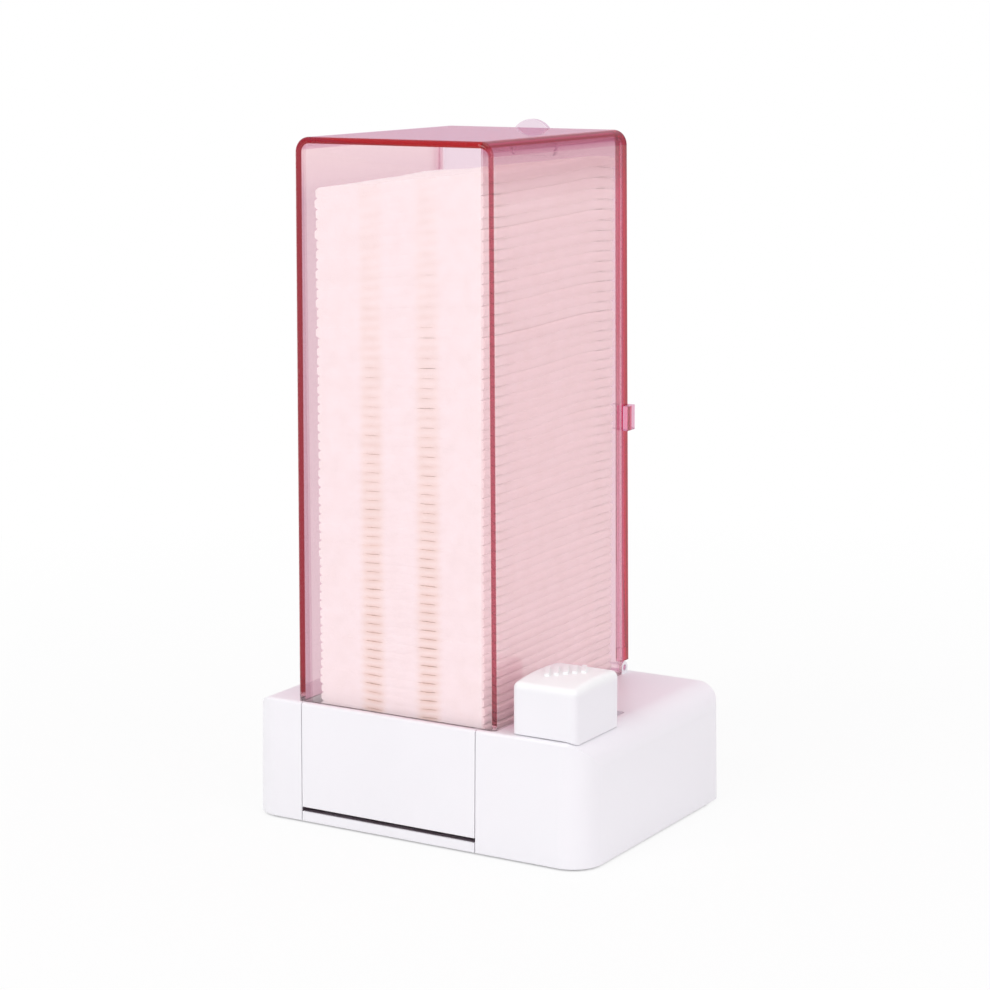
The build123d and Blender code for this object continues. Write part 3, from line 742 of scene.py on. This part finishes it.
def cotton():
    """Pressed cotton: matte, a little downy, with fine fibres, and painted shade along its channels and in
    their hollows.
    """
    pads = settings().pads
    material, tree, output = new_material("pressed_cotton")
    cloud = grain(tree, COTTON_CLOUD)
    tones = two_tones(tree, cloud, pads.colour, COTTON_DIM)
    # Painted shade along the pressed channels
    toned = multiplied_by_painted_shade(tree, channel_painted_shade_share(tree, pads), tones, pads.channel_painted_shade)
    # Painted shade in the channels' hollows, kept by the pads as a point attribute
    dimple = add(tree, "ShaderNodeAttribute", attribute_name="dimple").outputs["Fac"]
    surface = filled(tree, "ShaderNodeBsdfPrincipled", {
        "Base Color": multiplied_by_painted_shade(tree, dimple, toned, pads.dimple_painted_shade),
        "Roughness": uneven(tree, cloud, *COTTON_ROUGH),
        "Specular IOR Level": COTTON_SHINE,
        "Sheen Weight": SHEEN,
        "Sheen Roughness": SHEEN_ROUGH,
        "Normal": relief(tree, grain(tree, COTTON_FIBRES), *COTTON_RELIEF),
    })
    feed(tree, surface, output.inputs["Surface"])
    return material


def rubbed(name, pattern, colour, dim, rough, metallic):
    """A material whose tone and roughness follow one noise."""
    material, tree, output = new_material(name)
    wear = grain(tree, pattern)
    surface = filled(tree, "ShaderNodeBsdfPrincipled", {
        "Base Color": two_tones(tree, wear, colour, dim),
        "Roughness": uneven(tree, wear, *rough),
        "Metallic": metallic,
    })
    feed(tree, surface, output.inputs["Surface"])
    return material


def soft_rubber():
    """Matte grey rubber with a dusty tone."""
    return rubbed("soft_rubber", RUBBER_DUST, settings().finish.rubber, RUBBER_DIM, RUBBER_ROUGH, 0)


def plated_steel():
    """Zinc-plated steel with a fine rubbed grain."""
    return rubbed("plated_steel", STEEL_RUB, settings().finish.steel, STEEL_DIM, STEEL_ROUGH, 1)


def dress(material, *names):
    """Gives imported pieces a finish."""
    for name in names:
        for place in NODES[name].material_slots:
            place.material = material


def deselect():
    """Nothing selected, so that the next operator acts on the new piece alone."""
    bpy.ops.object.select_all(action="DESELECT")


class DISPENSER_OT_base(bpy.types.Operator):
    """Finish the base housing, the front panel and the bottom tray"""

    bl_idname = "pad_dispenser.base"
    bl_label = "Base"

    def execute(self, context):
        finish = settings().finish
        plastic = moulded_white("moulded_white_base", finish.white_roughness, finish.white_shine)
        dress(plastic, "base_housing", "front_panel", "bottom_tray")
        return {"FINISHED"}


class DISPENSER_OT_slider(bpy.types.Operator):
    """Finish the slider button, its carriage and the pusher plate"""

    bl_idname = "pad_dispenser.slider"
    bl_label = "Slider"

    def execute(self, context):
        finish = settings().finish
        plastic = moulded_white("moulded_white_slider", finish.slider_roughness, finish.slider_shine)
        dress(plastic, "slider_button", "slider_carriage", "pusher_plate")
        return {"FINISHED"}


class DISPENSER_OT_hopper(bpy.types.Operator):
    """Finish the tinted hopper"""

    bl_idname = "pad_dispenser.hopper"
    bl_label = "Hopper"

    def execute(self, context):
        dress(tinted_plastic(), "hopper")
        return {"FINISHED"}


class DISPENSER_OT_rear_door(bpy.types.Operator):
    """Finish the clear rear door"""

    bl_idname = "pad_dispenser.rear_door"
    bl_label = "Rear door"

    def execute(self, context):
        dress(clear_plastic(), "rear_door")
        return {"FINISHED"}


class DISPENSER_OT_hardware(bpy.types.Operator):
    """Finish the screws and the rubber feet"""

    bl_idname = "pad_dispenser.hardware"
    bl_label = "Screws and feet"

    def execute(self, context):
        dress(plated_steel(), "tray_screws", "button_screw", "pusher_screws")
        dress(soft_rubber(), "rubber_feet")
        return {"FINISHED"}


def mean_pitch(pads):
    """The thickness that one pad is modelled at, before it is laid in the stack."""
    return pads.low_pitch + (pads.high_pitch - pads.low_pitch) / 3


def column_place(column, pads):
    """How far a column of points lies from a pad's left edge. The outermost columns lie close together."""
    last = len(EDGE_STEPS) - 1
    near = min(column, ACROSS - column)
    place = EDGE_STEPS[min(near, last)]
    place += max(0, near - last) / (ACROSS / 2 - last) * (pads.width / 2 - EDGE_STEPS[last])
    return place if column < ACROSS / 2 else pads.width - place


def channel_share(across, pads):
    """How thick a pad's channels leave it at a place across its width, as a share of its full thickness."""
    hollow = 0.0
    for place in pads.channels:
        off = abs(across - place) * pads.width / pads.channel_half
        hollow = max(hollow, 1 - off * off)
    return 1 - (1 - pads.pressed) * hollow


def edge_share(across, pads):
    """How thick a pad is near its rounded sides, as a share of its full thickness."""
    off = min(across, 1 - across) * pads.width
    return 1 - EDGE_ROUND * max(0.0, 1 - off / EDGE_RUN) ** 2


def flat_pad(pads):
    """A closed pad at simulation scale, thinner along its channels and sides, with its channels pinned."""
    deselect()
    bpy.ops.mesh.primitive_grid_add(x_subdivisions=ACROSS, y_subdivisions=ALONG, size=1)
    pad = bpy.context.object
    pad.name = "cotton_pad_stack"
    pad.scale = (pads.width * SIM_SCALE, pads.depth * SIM_SCALE * DEEP_SHARE, 1)
    bpy.ops.object.transform_apply(location=True, rotation=True, scale=True)
    full = mean_pitch(pads) * SIM_SCALE
    bpy.ops.object.mode_set(mode="EDIT")
    bpy.ops.mesh.select_all(action="SELECT")
    bpy.ops.transform.translate(value=(0, 0, -full / 2))
    for _ in range(2):
        bpy.ops.mesh.extrude_region_move(TRANSFORM_OT_translate={"value": (0, 0, full / 2)})
    bpy.ops.mesh.select_all(action="SELECT")
    bpy.ops.mesh.normals_make_consistent(inside=False)
    bpy.ops.object.mode_set(mode="OBJECT")
    pinned = pad.vertex_groups.new(name="pressed")
    half_wide = pads.width * SIM_SCALE / 2
    half_deep = pads.depth * SIM_SCALE * DEEP_SHARE / 2
    for corner in pad.data.vertices:
        column = round((corner.co.x / half_wide + 1) / 2 * ACROSS)
        across = column_place(column, pads) / pads.width
        corner.co.x = half_wide * (2 * across - 1)
        corner.co.y = half_deep * math.sin(corner.co.y / half_deep * math.pi / 2)
        corner.co.z *= channel_share(across, pads) * edge_share(across, pads)
        if channel_share(across, pads) < pads.pressed + PIN_SLACK:
            pinned.add([corner.index], 1.0, "REPLACE")
    return pad


def puff(pad, pads):
    """Fills the pad by cloth simulation, with its movement capped, and applies the result."""
    rest = [corner.co.copy() for corner in pad.data.vertices]
    cloth = pad.modifiers.new("filling", "CLOTH")
    for name, value in CLOTH.items():
        setattr(cloth.settings, name, value)
    cloth.settings.effector_weights.gravity = 0
    scene = bpy.context.scene
    for step in range(1, CLOTH_STEPS + 1):
        scene.frame_set(step)
    deselect()
    pad.select_set(True)
    bpy.context.view_layer.objects.active = pad
    bpy.ops.object.modifier_apply(modifier=cloth.name)
    scene.frame_set(1)
    top = mean_pitch(pads) * SIM_SCALE / 2
    side_reach = SIDE_REACH * SIM_SCALE
    end_reach = END_REACH * SIM_SCALE
    for corner, start in zip(pad.data.vertices, rest):
        move = corner.co - start
        move.x = max(-side_reach, min(side_reach, move.x))
        move.y = max(-end_reach, min(end_reach, move.y))
        corner.co = start + move
        thick = min(top, max(abs(start.z) * LEAST_FILL, abs(corner.co.z)))
        corner.co.z = math.copysign(thick, start.z)
    pad.vertex_groups.clear()
    return pad


def nest(point, share, pads):
    """How much thicker a buried pad's channel gets away from its open ends, where the next pads swell into
    it, and how much shade is painted in the hollow of its channel, less towards the top of the stack."""
    inside = pads.depth * DEEP_SHARE / 2 - abs(point.y)
    open_end = max(0.0, 1 - inside / DIMPLE_RUN) * (1 - TOP_FILL * share)
    thick = channel_share(max(0.0, min(1.0, point.x / pads.width + 0.5)), pads)
    shade = (1 - thick) / (1 - pads.pressed) * min(1.0, LOW_SHADE - SHADE_FALL * share)
    growth = 1 + (1 - open_end) * (1 / thick - 1)
    return growth, shade if abs(point.z) > mean_pitch(pads) * MIDDLE_ROW else 0.0


def stray(number, reach, pace, row):
    """How far one pad strays from its place, by a noise that runs up the stack."""
    return reach * noise.noise(Vector((number * pace, row, 0)))


def wave(x, y, level, reach, across, along, rise):
    """How far a point of a pad is lifted, by a noise that runs over the pad and up the stack."""
    return reach * noise.noise(Vector((x * across, y * along, level * rise)))


def lay_pad(pad, number, pads):
    """Moves one pad's points to its place in the stack, with the small waves of a soft stack."""
    share = (number + 0.5) / pads.count
    slack = pads.high_pitch - pads.low_pitch
    height = pads.count * (pads.low_pitch * share + slack * share ** 3 / 3)
    loft = (pads.low_pitch + slack * share ** 2) / mean_pitch(pads)
    middle_x = (PAD_LOW.x + PAD_HIGH.x) / 2 + stray(number, *SIDE_STRAY)
    middle_y = PAD_LOW.y + pads.depth / 2 + pads.lean * height + stray(number, *DEEP_STRAY)
    turn = stray(number, *TURN_STRAY)
    calm = min(1.0, CALM_LOW + CALM_RISE * share)
    most = mean_pitch(pads) / 2
    # Painted shade for the channels' hollows, kept as a point attribute
    dimple = pad.data.attributes.new("dimple", "FLOAT", "POINT")
    for corner in pad.data.vertices:
        if number < pads.count - 1 or corner.co.z < 0:
            growth, dimple.data[corner.index].value = nest(corner.co, share, pads)
            corner.co.z = math.copysign(min(most, abs(corner.co.z) * growth), corner.co.z)
        x = corner.co.x * math.cos(turn) - corner.co.y * math.sin(turn)
        y = corner.co.x * math.sin(turn) + corner.co.y * math.cos(turn)
        back = max(0.0, 0.5 + y / pads.depth)
        lift = wave(x, y, height, *LONG_WAVE) + wave(x, y, number, *SHORT_WAVE)
        rise = pads.rear_rise * share * back + pads.side_rise * share ** 2 * x / pads.width
        rise -= pads.droop * share * max(0.0, (back - DROOP_START) / (1 - DROOP_START)) ** 2
        corner.co = (
            middle_x + x,
            middle_y + y,
            PAD_LOW.z + height + corner.co.z * loft * NESTED + rise + lift * calm,
        )


class DISPENSER_OT_pad_stack(bpy.types.Operator):
    """Model one pressed cotton pad and stack copies of it in the hopper"""

    bl_idname = "pad_dispenser.pad_stack"
    bl_label = "Cotton pads"

    def execute(self, context):
        pads = settings().pads
        first = puff(flat_pad(pads), pads)
        bpy.ops.transform.resize(value=(1 / SIM_SCALE,) * 3)
        bpy.ops.object.transform_apply(location=True, rotation=True, scale=True)
        stack = [first]
        for _ in range(1, pads.count):
            deselect()
            first.select_set(True)
            context.view_layer.objects.active = first
            bpy.ops.object.duplicate(linked=False)
            stack.append(context.object)
        for number, pad in enumerate(stack):
            lay_pad(pad, number, pads)
        deselect()
        for pad in stack:
            pad.select_set(True)
        context.view_layer.objects.active = first
        bpy.ops.object.join()
        bpy.ops.object.shade_smooth_by_angle(angle=SMOOTH_ANGLE)
        first.data.materials.clear()
        first.data.materials.append(cotton())
        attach(first, "base")
        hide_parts("cotton_pads")
        return {"FINISHED"}


def background_share(tree):
    """1 where the ray is to see the plain white background, and 0 where it gathers light."""
    path = add(tree, "ShaderNodeLightPath").outputs
    seen = reckon(tree, "MAXIMUM", path["Is Camera Ray"], path["Is Glossy Ray"])
    seen = reckon(tree, "MAXIMUM", seen, path["Is Transmission Ray"])
    return reckon(tree, "MULTIPLY", seen, reckon(tree, "LESS_THAN", path["Diffuse Depth"], ONE_DEEP))


def white_world(stage):
    """A white background, with a ceiling that only mirrors show, and an even light from all round."""
    world = bpy.data.worlds.new("white_studio")
    bpy.context.scene.world = world
    world.use_nodes = True
    tree = world.node_tree
    tree.nodes.clear()
    output = add(tree, "ShaderNodeOutputWorld")
    overhead = reckon(tree, "GREATER_THAN", axes(tree, "Generated")[2], 0)
    glossy = add(tree, "ShaderNodeLightPath").outputs["Is Glossy Ray"]
    colour = two_colours(tree, reckon(tree, "MULTIPLY", overhead, glossy), WHITE, stage.ceiling)
    plain = filled(tree, "ShaderNodeBackground", {"Color": WHITE, "Strength": stage.ambient})
    seen = filled(tree, "ShaderNodeBackground", {"Color": colour, "Strength": 1})
    feed(tree, two_shaders(tree, background_share(tree), plain, seen), output.inputs["Surface"])


def painted_contact_shadow_share(tree, x, y):
    """1 on the floor, and less under the base's rounded footprint, where a contact shadow is painted."""
    wide = reckon(tree, "SUBTRACT", reckon(tree, "ABSOLUTE", x), BASE_HIGH.x - FOOTPRINT_ROUND)
    deep = reckon(tree, "SUBTRACT", reckon(tree, "ABSOLUTE", y), BASE_HIGH.y - FOOTPRINT_ROUND)
    away = distance(tree, wide, deep)
    return remap(tree, away, FOOTPRINT_ROUND - FOOTPRINT_BLUR, FOOTPRINT_ROUND, UNDER_BASE_PAINTED_SHADOW, 1)


def white_floor():
    """A pale floor that shows white and keeps a soft shadow near the object, with a painted contact shadow
    under the base.
    """
    deselect()
    bpy.ops.mesh.primitive_plane_add(size=FLOOR_SIZE, location=(0, 0, 0))
    floor = bpy.context.object
    floor.name = "floor"
    material, tree, output = new_material("pale_floor")
    x, y, _ = axes(tree)
    far = add(tree, "ShaderNodeVectorMath", operation="LENGTH")
    feed(tree, add(tree, "ShaderNodeTexCoord").outputs["Object"], far.inputs[0])
    white = remap(tree, far.outputs["Value"], FLOOR_NEAR, FLOOR_FAR, NEAR_WHITE, 1)
    near = reckon(tree, "MULTIPLY", white, painted_contact_shadow_share(tree, x, y))
    share = reckon(tree, "MULTIPLY", background_share(tree), near)
    matte = filled(tree, "ShaderNodeBsdfDiffuse", {"Color": FLOOR_COLOUR})
    glow = filled(tree, "ShaderNodeEmission", {"Color": WHITE, "Strength": 1})
    feed(tree, two_shaders(tree, share, matte, glow), output.inputs["Surface"])
    floor.data.materials.append(material)


def soft_light(name, place, size, power, colour=WHITE):
    """A large square lamp that faces the object."""
    deselect()
    bpy.ops.object.light_add(type="AREA", location=place)
    lamp = bpy.context.object
    lamp.name = name
    lamp.data.shape = "SQUARE"
    lamp.data.size = size
    lamp.data.energy = power
    lamp.data.color = colour
    way = Vector(LIGHT_TARGET) - Vector(place)
    lamp.rotation_euler = way.to_track_quat("-Z", "Y").to_euler()


def photo_camera(stage):
    """The camera at the photograph's place."""
    deselect()
    bpy.ops.object.camera_add()
    camera = bpy.context.object
    camera.name = "photo_camera"
    yaw, pitch, roll = stage.camera_yaw, stage.camera_pitch, stage.camera_roll
    level_reach = math.cos(pitch)
    ahead = Vector((-math.sin(yaw) * level_reach, math.cos(yaw) * level_reach, -math.sin(pitch)))
    level = Vector((math.cos(yaw), math.sin(yaw), 0))
    upright = level.cross(ahead)
    right = level * math.cos(roll) + upright * math.sin(roll)
    up = upright * math.cos(roll) - level * math.sin(roll)
    turn = Matrix((right, up, -ahead)).transposed()
    camera.matrix_world = Matrix.Translation(stage.camera_place) @ turn.to_4x4()
    camera.data.sensor_width = SENSOR_WIDTH
    camera.data.lens = stage.lens
    camera.data.clip_start = CLIP_NEAR
    camera.data.clip_end = CLIP_FAR
    bpy.context.scene.camera = camera


class DISPENSER_OT_stage(bpy.types.Operator):
    """Set the white floor, the soft light and the camera"""

    bl_idname = "pad_dispenser.stage"
    bl_label = "Stage"

    def execute(self, context):
        stage = settings().stage
        context.scene.view_settings.view_transform = "Standard"
        white_world(stage)
        white_floor()
        soft_light("key_light", KEY_PLACE, KEY_SIZE, stage.key)
        soft_light("fill_light", FILL_PLACE, FILL_SIZE, stage.fill, stage.fill_colour)
        soft_light("top_light", TOP_PLACE, TOP_SIZE, stage.top)
        photo_camera(stage)
        return {"FINISHED"}


class DISPENSER_PT_panel(bpy.types.Panel):
    """The dispenser's pieces and settings"""

    bl_idname = "DISPENSER_PT_panel"
    bl_label = "Cotton Pad Dispenser"
    bl_space_type = "VIEW_3D"
    bl_region_type = "UI"
    bl_category = "Dispenser"

    def draw(self, context):
        groups = context.scene.pad_dispenser
        for operator in OPERATORS:
            self.layout.operator(operator.bl_idname)
        for group in (groups.pads, groups.finish, groups.stage):
            box = self.layout.box()
            for name in group.__annotations__:
                box.prop(group, name)


OPERATORS = (
    DISPENSER_OT_base,
    DISPENSER_OT_slider,
    DISPENSER_OT_hopper,
    DISPENSER_OT_rear_door,
    DISPENSER_OT_hardware,
    DISPENSER_OT_pad_stack,
    DISPENSER_OT_stage,
)
GROUPS = (PadSettings, FinishSettings, StageSettings, DispenserSettings)
CLASSES = GROUPS + OPERATORS + (DISPENSER_PT_panel,)


def register():
    for kind in CLASSES:
        bpy.utils.register_class(kind)
    bpy.types.Scene.pad_dispenser = bpy.props.PointerProperty(type=DispenserSettings)


def unregister():
    del bpy.types.Scene.pad_dispenser
    for kind in reversed(CLASSES):
        bpy.utils.unregister_class(kind)


def main():
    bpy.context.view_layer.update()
    register()
    bpy.ops.pad_dispenser.base()
    bpy.ops.pad_dispenser.slider()
    bpy.ops.pad_dispenser.hopper()
    bpy.ops.pad_dispenser.rear_door()
    bpy.ops.pad_dispenser.hardware()
    bpy.ops.pad_dispenser.pad_stack()
    bpy.ops.pad_dispenser.stage()


if __name__ == "__main__":
    main()
